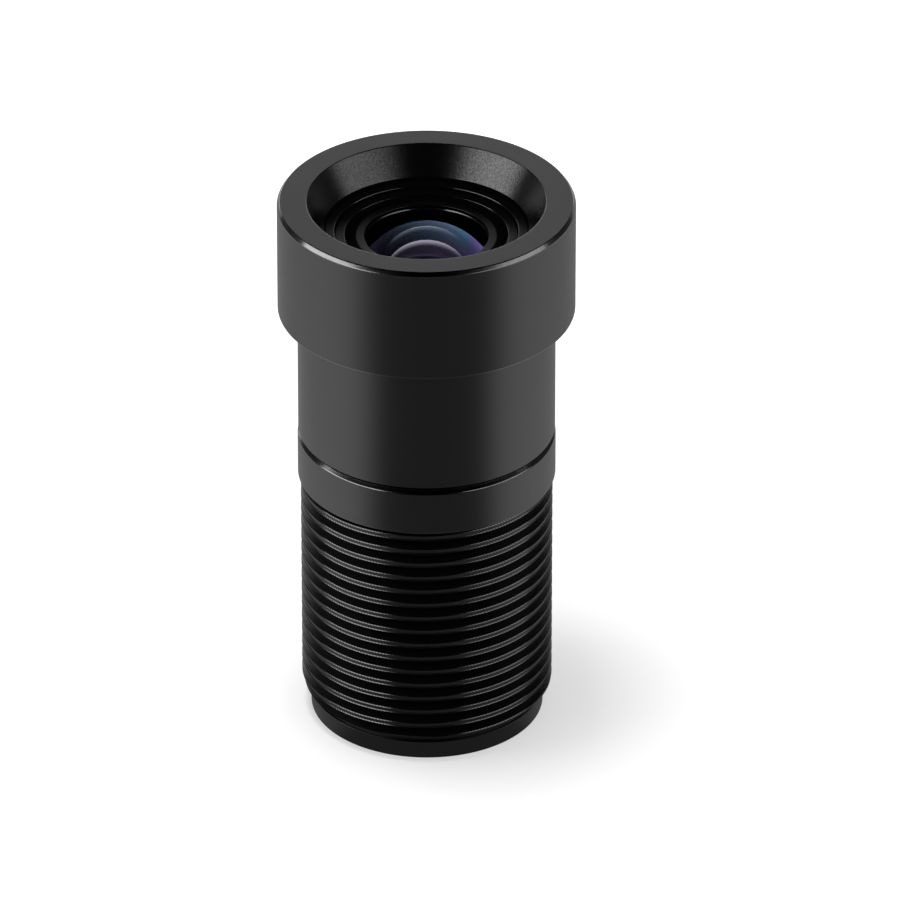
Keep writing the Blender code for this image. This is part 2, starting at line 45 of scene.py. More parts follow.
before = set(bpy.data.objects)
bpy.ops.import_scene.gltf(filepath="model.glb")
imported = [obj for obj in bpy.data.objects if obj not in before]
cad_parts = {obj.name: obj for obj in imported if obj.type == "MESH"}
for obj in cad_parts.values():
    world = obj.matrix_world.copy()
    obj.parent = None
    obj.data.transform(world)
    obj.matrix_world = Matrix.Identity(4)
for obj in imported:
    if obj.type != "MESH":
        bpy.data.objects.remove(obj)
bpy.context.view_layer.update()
MM = 0.001

# Sizes that the CAD nodes give
(_, _, SPIGOT_END), (HEAD_RADIUS, _, FRONT_FACE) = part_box("front_barrel")
_, (BAND_RADIUS, _, BAND_TOP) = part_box("rear_barrel")
(_, _, FRONT_RING_BOTTOM), (FRONT_RING_RADIUS, _, FRONT_RING_TOP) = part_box("front_retaining_ring")
(_, _, REAR_RING_BOTTOM), (REAR_RING_RADIUS, _, REAR_RING_TOP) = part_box("rear_retaining_ring")
FRONT_GLASS_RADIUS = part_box("front_spacer")[1].x

# Inside of the front barrel
SPIGOT_RADIUS = 4.90 * MM
CELL_EXIT_RADIUS = 2.50 * MM
CELL_FLOOR = 14.96 * MM
FRONT_CELL_RADIUS = 3.61 * MM
RING_BORE_RADIUS = 3.70 * MM
FRONT_LENS_TOP = 24.19 * MM
STEP_SLOPE = 0.06 * MM

# Inside of the rear barrel
REAR_RING_BORE_RADIUS = 4.60 * MM
FILTER_BORE_RADIUS = 4.35 * MM
FILTER_SEAT = 1.20 * MM
REAR_EXIT_RADIUS = 3.40 * MM
REAR_CELL_FLOOR = 1.90 * MM
REAR_CELL_RADIUS = 4.26 * MM
COUNTERBORE_FLOOR = 12.84 * MM
COUNTERBORE_RADIUS = 4.93 * MM

# Glass, in millimetres: the half aperture and bulge of each element's front and rear surfaces
LENS_FORMS = {
    "front_lens": ((2.88, 1.57), (2.26, -1.28)),
    "second_lens": ((2.45, 0.50), (2.10, -0.62)),
    "third_lens": ((2.45, 0.62), (2.20, 0.0)),
    "doublet_crown": ((2.70, 0.55), (2.90, 0.60)),
    "doublet_flint": ((2.90, -0.60), (2.40, -0.30)),
    "sixth_lens": ((3.40, 0.95), (3.40, 0.40)),
    "rear_lens": ((3.50, 0.70), (3.20, -0.25)),
}

# Spacers and stops, in millimetres: the radius of each one's hole
SPACER_HOLES = {"front_spacer": 2.55, "second_spacer": 2.55, "stop_spacer": 2.75, "rear_spacer": 3.60}
STOP_HOLES = {"aperture_stop": 1.25, "glare_stop": 2.30}

# The long spacer, and the fine thread in the spacers' holes
TUBE_HOLE_RADIUS = 2.75 * MM
TUBE_FOOT_RADIUS = 3.50 * MM
TUBE_FOOT_HEIGHT = 1.60 * MM
BAFFLE_PITCH = 0.16 * MM
BAFFLE_DEPTH = 0.06 * MM

# The floor lies this far under the foot
FLOOR_GAP = 0.002 * MM
FLOOR_SIZE = 1.5

# Lamps: degrees round from the front to the right, degrees up, distance and size; all aim at this height
LEFT_SOFTBOX = (-70, 27, 0.15, (0.17, 0.05))
RIGHT_SOFTBOX = (66, 27, 0.15, (0.17, 0.05))
KEY_LIGHT = (-84, 84, 0.20, (0.045, 0.045))
LIGHT_AIM = 14 * MM

# The studio's dark front, to gloss: cosines between which it fades out, and how far it is turned
FRONT_EDGE = (0.88, 0.42)
FRONT_TURN = math.radians(4)

# Heights over which the backdrop and its white foot fade out, and the cosines that bound both behind
BACKDROP_FADE = (0.34, 0.58)
BACKDROP_EDGE = (-0.78, -0.97)
FOOT_FADE = (0.30, 0.34)
FOOT_EDGE = (-0.75, -0.92)
FOOT_LEVEL = 1.6

# Distances over which the paper turns white to cameras, and over which gloss sees a painted shadow round the
# foot fade out
PAPER_FADE = (15 * MM, 60 * MM)
PAINTED_SHADOW_FADE = (5 * MM, 25 * MM)

# Cosines over which gloss sees the paper fade towards the back, and darken towards the right as painted light
# from the stronger lamp on the left
BACK_FADE = (0.35, -0.95)
PAINTED_RIGHT_FALLOFF = (-0.3, 0.3)

# Camera: fitted to the circles of the lens
CAMERA_ELEVATION = math.radians(30.25)
CAMERA_DISTANCE = 0.5
CAMERA_LENS = 420.54
CAMERA_AIM = 13.5 * MM
CAMERA_SHIFT = (1.108 * MM, 0.237 * MM)

# Refractive index of the anodised skin, and how far its gloss varies where it is mottled
OXIDE_INDEX = 1.7
MOTTLE = 0.22

# Most that the normals of walls, of risers in the mouth and of eased edges rise, as a sine
WALL_TILT = 0.1
RISER_TILT = 0.45
EDGE_TILT = 0.95

# On the thread, faces are lips beyond this share of the groove's depth, and land within it
LIP_SHARE = 0.2

# Relief of the skins, in millimetres: pitch and depth of the tool marks, depth and size of the grain
BARREL_RELIEF = ((0.05, 0.0006), (0.0014, 0.04))
MOUTH_RELIEF = ((0.05, 0.0004), (0.008, 0.075))
WALL_RELIEF = ((0.05, 0.0006), (0.0006, 0.03))
RING_RELIEF = ((0.05, 0.001), (0.0004, 0.03))
THREAD_RELIEF = ((0.04, 0.001), (0.0008, 0.03))
LAND_RELIEF = ((0.03, 0.001), (0.0008, 0.03))

# Pitch and depth of the tool marks on eased edges, and on the thread's lips, in millimetres
EDGE_MARKS = (0.05, 0.0003)
LIP_MARKS = (0.04, 0.0006)

# How far tool marks run round the turn, and the sizes of the noises that vary the surfaces
SKIN_WANDER = 2.0 * MM
EDGE_WANDER = 1.0 * MM
CLOUD_SIZE = 1.5 * MM
PATCH_SIZE = 0.25 * MM
DUST_SIZE = 0.2 * MM
POLISH_SIZE = 0.4 * MM

# Most of a noise lies between these
NOISE_RANGE = (0.3, 0.7)

# Glass: colour of the body and refractive index, and the colours of the filter's coating
FRONT_GLASS = ((0.78, 0.70, 0.96), 1.80)
INNER_GLASS = ((0.88, 0.78, 1.0), 1.70)
FILTER_INDEX = 1.52
FILTER_COATING = ((1.0, 0.35, 0.30), (1.0, 0.60, 0.35), (0.9, 0.9, 0.6))

# Places across the coating's tints, from facing to grazing, and the painted reflection's colours from left to
# right
COATING_PLACES = (0.15, 0.45, 0.75)
PAINTED_REFLECTION_COLORS = (
    (0.0, (0.50, 0.42, 0.85)),
    (0.32, (0.34, 0.56, 0.85)),
    (0.70, (0.40, 0.58, 1.0)),
    (0.86, (0.24, 0.60, 1.0)),
    (0.95, (0.44, 0.34, 1.0)),
)
PAINTED_REFLECTION_REACH = 2.5 * MM

# Where the painted reflection grows from left to right, and where it turns to its front colour
PAINTED_REFLECTION_GROWTH = (-2.2 * MM, 2.0 * MM)
PAINTED_REFLECTION_FRONT_EDGE = (-1.2 * MM, -0.4 * MM)
PAINTED_REFLECTION_FRONT = (0.56, 0.38, 1.0)

# Ground edges of the lenses, the front one's ground border, and the edges of the filter, shim and stops
LENS_GROUND = 0.04 * MM
GROUND_BORDER = 0.1 * MM
FILTER_GROUND = 0.03 * MM
SHIM_EASE = 0.01 * MM
STOP_BEVEL = 0.03 * MM

# Facets round the small pieces and the shim, and points along the curves of the inner and front lenses
SMALL_STEPS = 96
SHIM_STEPS = 144
LENS_POINTS = 24
DOME_POINTS = 40

# Chatter marks on the thread's land: how many go round, how far they slant, their depth and their wander
CHATTER_COUNT = 220
CHATTER_SLANT = 70 / MM
CHATTER_DEPTH = 0.012 * MM
CHATTER_WANDER = 0.15 * MM

# Points closer than this are one, an easing has this many facets, and edges sharper than these stay sharp
WELD = 0.0004 * MM
EASE_STEPS = 3
CREASE = math.radians(32)
THREAD_CREASE = math.radians(28)

# Facets narrower than this lie along an eased edge, and a holding edge runs this far beside each easing
NARROW = 0.022 * MM
HOLD = 0.03 * MM


def level(name, description, value, **limits):
    return bpy.props.FloatProperty(name=name, description=description, default=value, min=0.0, **limits)


def length(name, description, millimetres):
    return level(name, description, millimetres * MM, precision=6, unit="LENGTH")


def share(name, description, value):
    return level(name, description, value, max=1.0, subtype="FACTOR")


def tint(name, description, value):
    return bpy.props.FloatVectorProperty(
        name=name, description=description, default=value, size=3, min=0.0, max=1.0, subtype="COLOR"
    )


class BoardLensSizes(bpy.types.PropertyGroup):
    """Sizes of the turned pieces."""

    thread_radius: length("Thread radius", "Radius over the crests of the outside thread", 6.0)
    thread_depth: length("Thread depth", "Height of the crests over the root", 0.45)
    thread_pitch: length("Thread pitch", "Rise of the thread in one turn", 0.74)
    thread_bottom: length("Thread bottom", "Height at which the thread starts", 1.33)
    thread_phase: length("Thread phase", "First crest above the thread's lower end, at +X", 0.192)
    thread_chamfer: length("Thread chamfer", "Chamfer on the first crest", 0.12)
    crest_width: length("Crest width", "Width of the crests between the flanks", 0.25)
    lip_width: length("Lip width", "Flat on top of each lip of the crest", 0.012)
    lip_rise: length("Lip rise", "Height of the slope under each lip", 0.010)
    lip_ease: length("Lip easing", "Part of the slope over the upper lip that lies in the crest", 0.022)
    lip_fall: length("Lip fall", "Depth of the groove between the lips", 0.024)
    root_width: length("Root width", "Flat between two crests", 0.05)
    foot_radius: length("Foot radius", "Radius of the plain foot", 5.57)
    foot_height: length("Foot height", "Height of the plain foot", 0.88)
    relief_radius: length("Relief radius", "Radius of the groove between foot and thread", 5.40)
    band_bottom: length("Band bottom", "Height of the band's underside", 12.735)
    band_chamfer: length("Band chamfer", "Chamfer round the top of the band", 0.20)
    body_radius: length("Body radius", "Radius of the front barrel under its head", 6.10)
    body_bottom: length("Body bottom", "Height at which the body starts", 15.22)
    head_bottom: length("Head bottom", "Height of the head's underside", 21.68)
    head_chamfer_width: length("Head chamfer width", "Chamfer round the front face", 0.133)
    head_chamfer_height: length("Head chamfer height", "Height of that chamfer", 0.19)
    mouth_radius: length("Mouth radius", "Radius of the mouth at the front face", 5.633)
    mouth_foot_radius: length("Mouth foot radius", "Radius of the mouth's cone at its foot", 4.81)
    mouth_depth: length("Mouth depth", "Depth of the cone", 1.39)
    upper_step_drop: length("Upper step drop", "Drop from the cone to the first tread", 0.20)
    lower_step_drop: length("Lower step drop", "Drop from the first tread to the second", 0.18)
    step_width: length("Step width", "Width of each tread", 0.42)
    ring_hole_radius: length("Ring hole radius", "Hole of the front retaining ring", 2.90)
    ring_face_width: length("Ring face width", "Flat face of that ring", 0.41)
    ring_chamfer_height: length("Ring chamfer height", "Drop of that ring's chamfer", 0.22)
    ring_step_drop: length("Ring step drop", "Depth at which its hole narrows", 0.17)
    ring_step_height: length("Ring step height", "Height over which it narrows", 0.05)
    ring_step_width: length("Ring step width", "How much it narrows", 0.03)
    rear_ring_hole_radius: length("Rear ring hole", "Hole of the rear retaining ring", 3.55)
    slot_width: length("Spanner slot width", "Slots across the rear retaining ring", 0.80)
    slot_depth: length("Spanner slot depth", "Depth of those slots", 0.26)
    edge_ease: length("Edge easing", "Rounding of the outer edges", 0.05)
    fine_ease: length("Fine easing", "Rounding of the edges in the mouth", 0.02)
    tread_ease: length("Tread easing", "Rounding of the treads' inner edges", 0.035)
    turn_steps: bpy.props.IntProperty(
        name="Turn steps", description="Facets round a barrel", default=240, min=24, max=360
    )


class BoardLensFinishes(bpy.types.PropertyGroup):
    """Colours and gloss of the surfaces."""

    anodised: tint("Anodised black", "Colour of the anodised barrels", (0.0015, 0.0015, 0.0016))
    anodised_roughness: share("Anodised roughness", "Satin of the barrels", 0.33)
    mouth_roughness: share("Mouth roughness", "Satin of the blasted mouth", 0.22)
    turned_roughness: share("Turned roughness", "Satin of the rings", 0.30)
    edge_metal: tint("Edge metal", "Colour of the metal that shows at worn edges", (0.20, 0.20, 0.205))
    edge_roughness: share("Edge roughness", "Gloss of the chamfers and eased edges", 0.17)
    mouth_edge: tint("Mouth edges", "Colour of the metal along the edges in the mouth", (0.15, 0.15, 0.152))
    # Gloss of the steep walls in the mouth and of the front ring's bore; at nought it gives those recesses a
    # painted shade
    painted_shade_gloss: share("Riser gloss", "Strength of the reflections of the steep walls in the mouth", 0.0)
    crest_metal: tint("Crest metal", "Colour of the metal along the thread's crests", (0.10, 0.10, 0.102))
    thread_gloss: share("Thread gloss", "Strength of the thread's reflections, 0.5 being oxide's own", 0.36)
    land_roughness: share("Land roughness", "Satin of the chattered land on the crests", 0.32)
    spacer_black: tint("Spacer black", "Colour of the spacers and stops", (0.008, 0.008, 0.008))
    coating_facing: tint("Coating, facing", "Tint of the reflections seen straight on", (0.80, 0.45, 1.0))
    coating_middle: tint("Coating, middle", "Tint of the reflections at middling angles", (0.35, 0.50, 1.0))
    coating_grazing: tint("Coating, grazing", "Tint of the reflections towards the rim", (0.72, 0.86, 1.0))
    ground_rim: tint("Ground rim", "Colour of the ground rim of the front glass", (0.36, 0.32, 0.52))
    # Strength of the rim sheen, whose growth to the right and colours by position are a painted reflection
    rim_sheen_painted_reflection: share("Rim haze", "Faint glow of the front glass towards its rim", 1.0)
    filter_tint: tint("Filter tint", "Colour of the rear filter", (0.62, 0.85, 0.88))
    brass: tint("Shim", "Colour of the blackened shim", (0.05, 0.045, 0.04))


class BoardLensStudio(bpy.types.PropertyGroup):
    """Light levels of the studio."""

    left_level: level("Left softbox", "Radiance that the gloss sees", 2.8)
    right_level: level("Right softbox", "Radiance that the gloss sees", 1.3)
    key_level: level("Key light", "Radiance of the lamp above on the left", 38.0)
    world_level: level("World", "Light from all round", 0.45)
    backdrop_level: level("Backdrop", "Radiance of the backdrop over its white foot", 0.62)
    side_share: share("Sides", "Share of the backdrop that the sides show", 0.08)
    ceiling_level: level("Ceiling", "Radiance overhead", 0.01)
    front_level: level("Front", "Radiance of the dark floor in front, as the gloss sees it", 0.14)
    paper_glow: level("Paper glow", "What cameras see added to the lit floor", 0.52)
    floor_color: tint("Floor", "Colour of the floor", (0.62, 0.62, 0.62))


def wire_profile(bm, points, closed):
    """Lays (radius, height[, easing]) points in the XZ plane and rounds the corners that have an easing.

    A holding point beside each rounding keeps the shading of the face beyond it flat.
    """
    corners = [(bm.verts.new((point[0], 0.0, point[1])), *point[2:]) for point in points]
    eased = {}
    for corner, *easing in corners:
        if easing:
            eased.setdefault(easing[0], []).append(corner)
    for (first, *first_easing), (second, *second_easing) in zip(corners, corners[1:] + corners[:closed]):
        span = second.co - first.co
        reaches = [easing[0] + HOLD if easing else 0.0 for easing in (first_easing, second_easing)]
        chain = [first, second]
        if span.length > sum(reaches) + HOLD:
            stops = [reaches[0]] * bool(first_easing) + [span.length - reaches[1]] * bool(second_easing)
            chain[1:1] = [bm.verts.new(first.co + span.normalized() * stop) for stop in stops]
        for start, end in zip(chain, chain[1:]):
            bm.edges.new((start, end))
    for easing, chosen in eased.items():
        bmesh.ops.bevel(
            bm, geom=chosen, offset=easing, offset_type="OFFSET", segments=EASE_STEPS, profile=0.5,
            affect="VERTICES", material=-1,
        )


def turn(bm, steps, rise=0.0):
    """Spins everything in the mesh once round Z, or up one turn of a helix."""
    bmesh.ops.spin(
        bm, geom=bm.verts[:] + bm.edges[:], cent=(0.0, 0.0, 0.0), axis=(0.0, 0.0, 1.0),
        dvec=(0.0, 0.0, rise / steps), angle=2 * math.pi, steps=steps, use_merge=rise == 0.0,
        use_duplicate=False,
    )
    bmesh.ops.remove_doubles(bm, verts=bm.verts[:], dist=WELD)


def give_finishes(bm, finishes):
    """Gives each further finish of a piece to the faces that its test chooses."""
    bm.normal_update()
    for index, chosen in enumerate(finishes, 1):
        for face in bm.faces:
            x, y, z = face.calc_center_median()
            if chosen(face, math.hypot(x, y), z):
                face.material_index = index


def is_narrow(face):
    return min(edge.calc_length() for edge in face.edges) < NARROW


def mesh_of(bm, name):
    """Makes the bmesh a mesh, and frees it."""
    mesh = bpy.data.meshes.new(name)
    bm.to_mesh(mesh)
    bm.free()
    return mesh


def place(name, data):
    """Puts a new object with this data into the scene."""
    thing = bpy.data.objects.new(name, data)
    bpy.context.scene.collection.objects.link(thing)
    return thing


def finished_piece(bm, name, materials, replaced, crease=CREASE):
    """Makes the mesh an object that stands for a CAD node, shaded smooth between its sharp edges."""
    bmesh.ops.recalc_face_normals(bm, faces=bm.faces[:])
    for face in bm.faces:
        face.smooth = True
    for edge in bm.edges:
        edge.smooth = len(edge.link_faces) == 2 and edge.calc_face_angle(0.0) < crease
    mesh = mesh_of(bm, name)
    for material in materials:
        mesh.materials.append(material)
    piece = place(name, mesh)
    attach(piece, "root")
    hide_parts(replaced)
    return piece


def turned_piece(name, points, materials, replaced, steps=SMALL_STEPS, finishes=()):
    """Turns a section, which is closed unless it starts on the axis."""
    bm = bmesh.new()
    wire_profile(bm, points, closed=points[0][0] > 0.0)
    turn(bm, steps)
    give_finishes(bm, finishes)
    return finished_piece(bm, name, materials, replaced)


def lens_surface(half_aperture, rise, height, steps):
    """Points of a glass surface from its edge to the axis, which it meets at height + rise."""
    if rise == 0.0:
        return [(half_aperture, height), (0.0, height)]
    radius = (half_aperture**2 + rise**2) / (2 * abs(rise))
    half_angle = math.atan2(half_aperture, radius - abs(rise))
    points = []
    for step in range(steps):
        angle = half_angle * (1 - step / steps)
        lift = radius * math.cos(angle) - (radius - abs(rise))
        points.append((radius * math.sin(angle), height + math.copysign(lift, rise)))
    points.append((0.0, height + rise))
    return points


def lens_points(node, steps=LENS_POINTS):
    """Section of a glass element, from the middle of its front surface to that of its rear one."""
    (front_aperture, front_rise), (rear_aperture, rear_rise) = LENS_FORMS[node]
    low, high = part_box(node)
    top = high.z - max(0.0, front_rise * MM)
    bottom = low.z + max(0.0, rear_rise * MM)
    front = lens_surface(front_aperture * MM, front_rise * MM, top, steps)
    rear = lens_surface(rear_aperture * MM, -rear_rise * MM, bottom, steps)
    side = [(high.x, top, LENS_GROUND), (high.x, bottom, LENS_GROUND)]
    return front[::-1] + side + rear


def feed(node, inputs):
    """Gives inputs of a node, by name or number, a number, a colour or the output of another node."""
    for name, value in inputs.items():
        if isinstance(value, bpy.types.NodeSocket):
            node.id_data.links.new(value, node.inputs[name])
        else:
            node.inputs[name].default_value = value if isinstance(value, (int, float)) else (*value, 1.0)


def add_node(tree, kind, inputs, **choices):
    node = tree.nodes.new("ShaderNode" + kind)
    for name, choice in choices.items():
        setattr(node, name, choice)
    feed(node, inputs)
    return node


def new_material(name):
    material = bpy.data.materials.new(name)
    material.use_nodes = True
    tree = material.node_tree
    return material, tree, tree.nodes["Principled BSDF"]


def math_node(tree, operation, *values):
    return add_node(tree, "Math", dict(enumerate(values)), operation=operation).outputs[0]


def product(tree, *factors):
    result = factors[0]
    for factor in factors[1:]:
        result = math_node(tree, "MULTIPLY", result, factor)
    return result


def total(tree, *terms):
    result = terms[0]
    for term in terms[1:]:
        result = math_node(tree, "ADD", result, term)
    return result


def ramp(tree, value, start, end, low, high, interpolation="SMOOTHSTEP"):
    """Goes smoothly from low to high while the value goes from start to end."""
    inputs = {"Value": value, "From Min": start, "From Max": end, "To Min": low, "To Max": high}
    return add_node(tree, "MapRange", inputs, interpolation_type=interpolation).outputs["Result"]


def spread(tree, noise, low, high):
    """Spreads a noise evenly from low to high."""
    return ramp(tree, noise, *NOISE_RANGE, low, high, "LINEAR")


def object_axes(tree):
    """The position on the object, and its three parts."""
    position = tree.nodes.new("ShaderNodeTexCoord").outputs["Object"]
    return position, add_node(tree, "SeparateXYZ", {0: position}).outputs


def from_axis(tree, x, y):
    return math_node(tree, "SQRT", total(tree, product(tree, x, x), product(tree, y, y)))


def tool_marks(tree, pitch, wander):
    """Noise that changes with radius and height but hardly round the turn, as a lathe leaves it."""
    _, (x, y, z) = object_axes(tree)
    across, along = product(tree, from_axis(tree, x, y), 1 / pitch), product(tree, z, 1 / pitch)
    point = add_node(tree, "CombineXYZ", {0: across, 1: along, 2: product(tree, x, 1 / wander)})
    inputs = {"Vector": point.outputs[0], "W": product(tree, y, 1 / wander), "Scale": 1.0, "Detail": 2.0}
    return add_node(tree, "TexNoise", inputs, noise_dimensions="4D").outputs["Fac"]


def grain(tree, size, detail=3.0):
    position, _ = object_axes(tree)
    inputs = {"Vector": position, "Scale": 1 / size, "Detail": detail}
    return add_node(tree, "TexNoise", inputs).outputs["Fac"]


def slanting_marks(tree):
    """Marks from 0 to 1 across the thread's land, at a slant, where the tool has chattered."""
    _, (x, y, z) = object_axes(tree)
    phase = total(
        tree,
        product(tree, math_node(tree, "ARCTAN2", y, x), CHATTER_COUNT),
        product(tree, z, CHATTER_SLANT),
        product(tree, grain(tree, CHATTER_WANDER), 4.0),
    )
    return total(tree, product(tree, math_node(tree, "SINE", phase), 0.5), 0.5)


def blend(tree, value, first, second):
    """Goes from the first colour to the second."""
    return add_node(tree, "Mix", {0: value, 6: first, 7: second}, data_type="RGBA").outputs[2]


def shaded(tree, value, color, darker, lighter):
    """The colour, between a darker and a lighter share of itself."""
    return blend(tree, value, [darker * part for part in color], [lighter * part for part in color])


def color_stops(tree, value, stops):
    """Goes through colours that each have a place from 0 to 1."""
    node = add_node(tree, "ValToRGB", {0: value})
    elements = node.color_ramp.elements
    for element, (position, color) in zip(elements, (stops[0], stops[-1])):
        element.position, element.color = position, (*color, 1.0)
    for position, color in stops[1:-1]:
        elements.new(position).color = (*color, 1.0)
    return node.outputs["Color"]


def bump(tree, shader, layers):
    """Stacks (height, depth) layers of relief on the shader."""
    below = {}
    for height, depth in layers:
        relief = add_node(tree, "Bump", {"Strength": 1.0, "Distance": depth, "Height": height, **below})
        below = {"Normal": relief.outputs["Normal"]}
    feed(shader, below)


def anodised_material(name, color, roughness, relief, gloss=0.5, mottled=False, chatter=0.0):
    """Black anodised aluminium: a satin skin over fine tool marks, mottled or chattered if asked."""
    material, tree, shader = new_material(name)
    (pitch, mark_depth), (grain_depth, grain_size) = relief
    marks = tool_marks(tree, pitch * MM, SKIN_WANDER)
    fine = grain(tree, grain_size * MM)
    cloud = grain(tree, CLOUD_SIZE, 2.0)
    rough = total(
        tree, spread(tree, marks, roughness - 0.02, roughness + 0.02), spread(tree, cloud, -0.01, 0.01)
    )
    layers = [(marks, mark_depth * MM), (fine, grain_depth * MM)]
    if mottled:
        gloss = spread(tree, fine, gloss - MOTTLE, gloss + MOTTLE)
    if chatter:
        slant = slanting_marks(tree)
        rough = total(tree, rough, product(tree, slant, chatter))
        layers.append((slant, CHATTER_DEPTH))
    feed(shader, {"IOR": OXIDE_INDEX, "Specular IOR Level": gloss, "Roughness": rough})
    feed(shader, {"Base Color": shaded(tree, cloud, color, 0.9, 1.1)})
    bump(tree, shader, layers)
    return material


def edge_material(name, color, roughness, marks=EDGE_MARKS, chatter=False):
    """Chamfers and eased edges, where the skin is thin and the metal shows through in patches."""
    material, tree, shader = new_material(name)
    pitch, depth = marks
    turned = tool_marks(tree, pitch * MM, EDGE_WANDER)
    if chatter:
        patches = shaded(tree, slanting_marks(tree), color, 0.3, 1.7)
    else:
        patches = shaded(tree, grain(tree, PATCH_SIZE), color, 0.75, 1.15)
    satin = spread(tree, turned, roughness - 0.03, roughness + 0.03)
    feed(shader, {"Metallic": 1.0, "Base Color": patches, "Roughness": satin})
    bump(tree, shader, [(turned, depth * MM)])
    return material


def matte_material(name, color):
    """Dead black of the spacers and stops, and the ground rim of the front glass."""
    material, tree, shader = new_material(name)
    feed(shader, {"Base Color": color, "Roughness": spread(tree, grain(tree, DUST_SIZE), 0.62, 0.78)})
    bump(tree, shader, [(grain(tree, 0.03 * MM), 0.004 * MM)])
    return material


def metal_material(name, color, roughness):
    """Blackened brass."""
    material, tree, shader = new_material(name)
    satin = spread(tree, grain(tree, DUST_SIZE), roughness - 0.06, roughness + 0.06)
    feed(shader, {"Metallic": 0.6, "Base Color": color, "Roughness": satin})
    return material


def coating_tint(tree, tints):
    """The coating's colour, which changes with the angle that the glass is seen at."""
    angle = add_node(tree, "LayerWeight", {"Blend": 0.5})
    return color_stops(tree, angle.outputs["Facing"], tuple(zip(COATING_PLACES, tints)))


def painted_rim_reflection(tree, shader, sheen_and_painted_reflection):
    """Painted reflection in a sheen towards the rim, growing from left to right: blue and cyan behind, violet
    in front and at both sides.
    """
    _, (x, y, _) = object_axes(tree)
    across = total(tree, product(tree, x, 0.5 / PAINTED_REFLECTION_REACH), 0.5)
    in_front = ramp(tree, y, *PAINTED_REFLECTION_FRONT_EDGE, 0.9, 0.0)
    colors = blend(tree, in_front, color_stops(tree, across, PAINTED_REFLECTION_COLORS), PAINTED_REFLECTION_FRONT)
    # Painted reflection: the sheen is made stronger towards the right by position on the glass
    weight = ramp(tree, x, *PAINTED_REFLECTION_GROWTH, 0.12 * sheen_and_painted_reflection, sheen_and_painted_reflection)
    feed(shader, {"Sheen Weight": weight, "Sheen Tint": colors, "Sheen Roughness": 0.5})


def glass_material(name, body_color, ior, coating, sheen_and_painted_reflection=0.0):
    """Polished glass whose coating tints what it reflects; if asked, a sheen towards its rim carries a
    painted reflection.
    """
    material, tree, shader = new_material(name)
    feed(shader, {"Base Color": body_color, "Transmission Weight": 1.0, "IOR": ior})
    polish = spread(tree, grain(tree, POLISH_SIZE), 0.0, 0.012)
    feed(shader, {"Specular Tint": coating_tint(tree, coating), "Roughness": polish})
    if sheen_and_painted_reflection:
        painted_rim_reflection(tree, shader, sheen_and_painted_reflection)
    return material


def settings(context):
    return context.scene.board_lens_sizes, context.scene.board_lens_finishes


class BOARDLENS_OT_front_barrel(bpy.types.Operator):
    """Turn the head and body, with the stepped mouth"""

    bl_idname = "boardlens.front_barrel"
    bl_label = "Front barrel"

    def execute(self, context):
        s, f = settings(context)
        edge, fine = s.edge_ease, s.fine_ease
        floor = FRONT_FACE - s.mouth_depth
        upper = floor - s.upper_step_drop
        lower = upper - s.lower_step_drop
        upper_outer = s.mouth_foot_radius - STEP_SLOPE
        upper_inner = upper_outer - s.step_width
        lower_outer = upper_inner - STEP_SLOPE
        lower_inner = lower_outer - s.step_width
        points = [
            (HEAD_RADIUS - s.head_chamfer_width, FRONT_FACE, fine),
            (HEAD_RADIUS, FRONT_FACE - s.head_chamfer_height, fine),
            (HEAD_RADIUS, s.head_bottom, edge),
            (s.body_radius, s.head_bottom, fine),
            (s.body_radius, s.body_bottom, edge),
            (SPIGOT_RADIUS, s.body_bottom, fine),
            (SPIGOT_RADIUS, SPIGOT_END, edge),
            (CELL_EXIT_RADIUS, SPIGOT_END, fine),
            (CELL_EXIT_RADIUS, CELL_FLOOR, fine),
            (FRONT_CELL_RADIUS, CELL_FLOOR),
            (FRONT_CELL_RADIUS, FRONT_LENS_TOP, fine),
            (RING_BORE_RADIUS, FRONT_LENS_TOP, fine),
            (RING_BORE_RADIUS, FRONT_RING_TOP - s.ring_chamfer_height, fine),
            (lower_inner, lower, s.tread_ease),
            (lower_outer, lower),
            (upper_inner, upper, s.tread_ease),
            (upper_outer, upper),
            (s.mouth_foot_radius, floor, fine),
            (s.mouth_radius, FRONT_FACE, fine),
        ]
        skins = (
            anodised_material("anodised_barrel", f.anodised, f.anodised_roughness, BARREL_RELIEF),
            edge_material("anodised_edge", f.edge_metal, f.edge_roughness),
            anodised_material("blasted_mouth", f.anodised, f.mouth_roughness, MOUTH_RELIEF, mottled=True),
            edge_material("mouth_edge", f.mouth_edge, f.edge_roughness),
            # The steep risers reflect nothing: painted shade in the undercuts between the treads
            anodised_material("mouth_riser_painted_shade", f.anodised, f.turned_roughness, WALL_RELIEF, f.painted_shade_gloss),
        )
        chamfer_radius = HEAD_RADIUS - s.head_chamfer_width
        chamfer_foot = FRONT_FACE - s.head_chamfer_height - fine

        def on_edge(face, radius, height):
            on_chamfer = radius > chamfer_radius and height > chamfer_foot
            on_shoulder = radius > HEAD_RADIUS - edge and height < s.head_bottom + edge
            return on_chamfer or on_shoulder or is_narrow(face)

        def in_mouth(face, radius, height):
            return RING_BORE_RADIUS - STEP_SLOPE < radius < s.mouth_radius + fine and height > FRONT_LENS_TOP

        def on_mouth_edge(face, radius, height):
            return in_mouth(face, radius, height) and height < floor - fine and face.normal.z < EDGE_TILT

        def on_riser(face, radius, height):
            return in_mouth(face, radius, height) and height < floor and abs(face.normal.z) < RISER_TILT

        turned_piece(
            "turned_front_barrel", points, skins, "front_barrel", s.turn_steps,
            finishes=(on_edge, in_mouth, on_mouth_edge, on_riser),
        )
        return {"FINISHED"}


